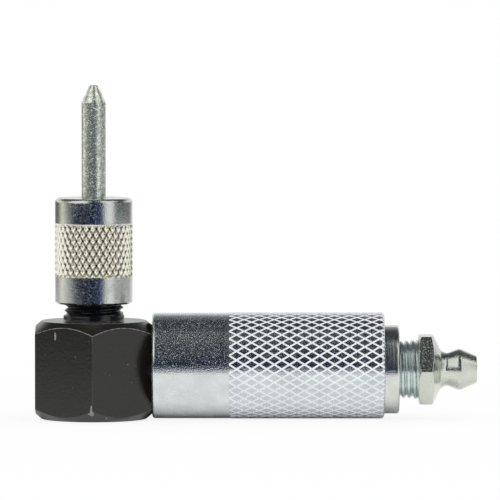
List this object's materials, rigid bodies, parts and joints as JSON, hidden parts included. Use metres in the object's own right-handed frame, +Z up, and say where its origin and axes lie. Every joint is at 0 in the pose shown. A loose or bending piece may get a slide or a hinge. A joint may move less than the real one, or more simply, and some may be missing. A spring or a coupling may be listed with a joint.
{
  "type": "grease coupler",
  "caption": "Right-angle grease coupler: hexagon elbow with a needle in a knurled cap, turning on a knurled quick-release sleeve with a grease nipple.",
  "frame": {"origin": "centre of the elbow's lower hexagon face, on the floor, on the needle's axis", "axes": "+Z up along the needle; +X along the coupler, towards the grease nipple; -Y is the side that the picture shows"},
  "size_m": [0.0723, 0.022, 0.0547],
  "materials": {
    "black_oxide_steel": "matte black oxide, worn pale on the edges",
    "zinc_plated_steel": "bright zinc plate",
    "yellow_zinc_steel": "bright zinc plate, slightly warm",
    "plated_needle_steel": "dull plate with fine pits",
    "hardened_steel": "polished",
    "spring_steel": "drawn wire",
    "copper": "annealed",
    "nitrile_rubber": "moulded",
    "white_plastic": "turned"
  },
  "bodies": {
    "barrel": {"barrel": "zinc_plated_steel", "stop_ring": "spring_steel", "plug_seal": "nitrile_rubber", "backup_ring": "white_plastic", "sleeve_spring": "spring_steel", "nipple_body": "zinc_plated_steel", "check_spring": "spring_steel", "lock_ball_1": "hardened_steel", "lock_ball_2": "hardened_steel", "lock_ball_3": "hardened_steel", "lock_ball_4": "hardened_steel", "lock_ball_5": "hardened_steel", "lock_ball_6": "hardened_steel"},
    "sleeve": {"sleeve": "zinc_plated_steel"},
    "head": {"elbow_body": "black_oxide_steel", "coupler_plug": "hardened_steel"},
    "needle": {"needle": "plated_needle_steel", "needle_washer": "copper"},
    "cap": {"needle_cap": "yellow_zinc_steel"},
    "check_ball": {"check_ball": "hardened_steel"}
  },
  "joints": [
    {"name": "head_swivel", "type": "hinge", "parent": "barrel", "child": "head", "pos_m": [0, 0, 0.00805], "axis": [1, 0, 0], "continuous": true},
    {"name": "sleeve_slide", "type": "slide", "parent": "barrel", "child": "sleeve", "axis": [1, 0, 0], "range_m": [0, 0.005], "stiffness_N_per_m": 300, "springref_m": -0.0005, "deforming": ["sleeve_spring"]},
    {"name": "needle_lift", "type": "slide", "parent": "head", "child": "needle", "axis": [0, 0, 1], "range_m": [0, 0.0068]},
    {"name": "cap_turn", "type": "hinge", "parent": "needle", "child": "cap", "pos_m": [0, 0, 0.03], "axis": [0, 0, 1], "range_deg": [0, 2624.2]},
    {"name": "check_ball_lift", "type": "slide", "parent": "barrel", "child": "check_ball", "axis": [-1, 0, 0], "range_m": [0, 0.0008], "stiffness_N_per_m": 50, "deforming": ["check_spring"]}
  ],
  "couplings": [
    {"joint": "cap_turn", "follows": "needle_lift", "rad_per_m": 6679}
  ]
}
